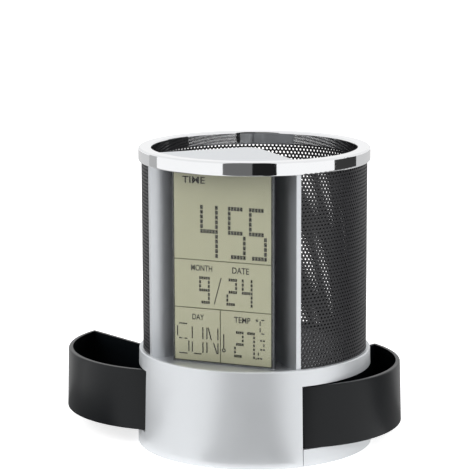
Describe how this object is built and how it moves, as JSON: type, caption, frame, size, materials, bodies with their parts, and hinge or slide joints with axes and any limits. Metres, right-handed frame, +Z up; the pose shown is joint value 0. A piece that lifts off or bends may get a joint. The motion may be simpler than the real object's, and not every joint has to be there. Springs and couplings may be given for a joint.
{
  "type": "pen holder clock",
  "caption": "Round desk pen cup with a perforated wall, a digital clock bay in front and swing-out drawers in its drafted base.",
  "frame": {"origin": "in the middle of the flat underside, 1 mm above the desk that the four pads stand on", "axes": "+Z up, the clock faces -Y, the left drawer is on the -X side"},
  "size_m": [0.1517, 0.1015, 0.1263],
  "materials": {
    "silver_paint": "satin silver paint on moulded plastic",
    "frame_silver": "bright silver moulded plastic",
    "chrome_ring": "polished chrome plating",
    "mesh_black": "black powder-coated perforated sheet",
    "charcoal_plastic": "satin charcoal moulded plastic",
    "clear_lens": "clear polished slab",
    "lcd_field": "reflective liquid crystal display",
    "black_plastic": "fine moulded texture",
    "circuit_board": "solder mask",
    "bare_steel": "bright steel",
    "nickel_contact": "nickel plated spring steel",
    "foot_rubber": "matte rubber",
    "cell_sleeve": "printed metal sleeve",
    "wire_cover": "flexible insulation",
    "key_plastic": "satin moulded plastic"
  },
  "bodies": {
    "holder": {"base_housing": "silver_paint", "base_tray": "silver_paint", "bottom_plate": "black_plastic", "rubber_feet": "foot_rubber", "plate_screws": "bare_steel", "tray_screws": "bare_steel", "battery_box": "black_plastic", "battery_cells": "cell_sleeve", "battery_springs": "nickel_contact", "battery_contacts": "nickel_contact", "battery_leads": "wire_cover", "clock_frame": "frame_silver", "frame_screws": "bare_steel", "frame_cover": "frame_silver", "top_ring": "chrome_ring", "mesh_sleeve": "mesh_black", "lcd_lens": "clear_lens", "lcd_glass": "lcd_field", "clock_back": "black_plastic", "clock_board": "circuit_board", "clock_chip": "black_plastic", "crystal": "bare_steel", "zebra_strip": "foot_rubber", "thermistor": "black_plastic", "buzzer": "black_plastic", "flat_cable": "wire_cover", "button_board": "circuit_board", "tact_switches": "black_plastic", "pivot_pins": "bare_steel"},
    "left_drawer": {"left_drawer": "charcoal_plastic"},
    "right_drawer": {"right_drawer": "charcoal_plastic"},
    "battery_door": {"battery_door": "black_plastic"},
    "mode_button": {"mode_button": "key_plastic"},
    "set_button": {"set_button": "key_plastic"},
    "up_button": {"up_button": "key_plastic"},
    "down_button": {"down_button": "key_plastic"}
  },
  "joints": [
    {"name": "left_drawer_hinge", "type": "hinge", "parent": "holder", "child": "left_drawer", "pos_m": [-0.03548, -0.02602, 0.0195], "axis": [0, 0, 1], "range_deg": [-62.4, 0]},
    {"name": "right_drawer_hinge", "type": "hinge", "parent": "holder", "child": "right_drawer", "pos_m": [0.03548, -0.02602, 0.0195], "axis": [0, 0, -1], "range_deg": [-18.3, 44.1]},
    {"name": "battery_door_hinge", "type": "hinge", "parent": "holder", "child": "battery_door", "pos_m": [0, -0.02435, 0.00075], "axis": [-1, 0, 0], "range_deg": [0, 90]},
    {"name": "mode_button_press", "type": "slide", "parent": "holder", "child": "mode_button", "axis": [0, -1, 0], "range_m": [0, 0.0006], "stiffness_N_per_m": 500, "springref_m": -0.0004},
    {"name": "set_button_press", "type": "slide", "parent": "holder", "child": "set_button", "axis": [0, -1, 0], "range_m": [0, 0.0006], "stiffness_N_per_m": 500, "springref_m": -0.0004},
    {"name": "up_button_press", "type": "slide", "parent": "holder", "child": "up_button", "axis": [0, -1, 0], "range_m": [0, 0.0006], "stiffness_N_per_m": 500, "springref_m": -0.0004},
    {"name": "down_button_press", "type": "slide", "parent": "holder", "child": "down_button", "axis": [0, -1, 0], "range_m": [0, 0.0006], "stiffness_N_per_m": 500, "springref_m": -0.0004}
  ]
}
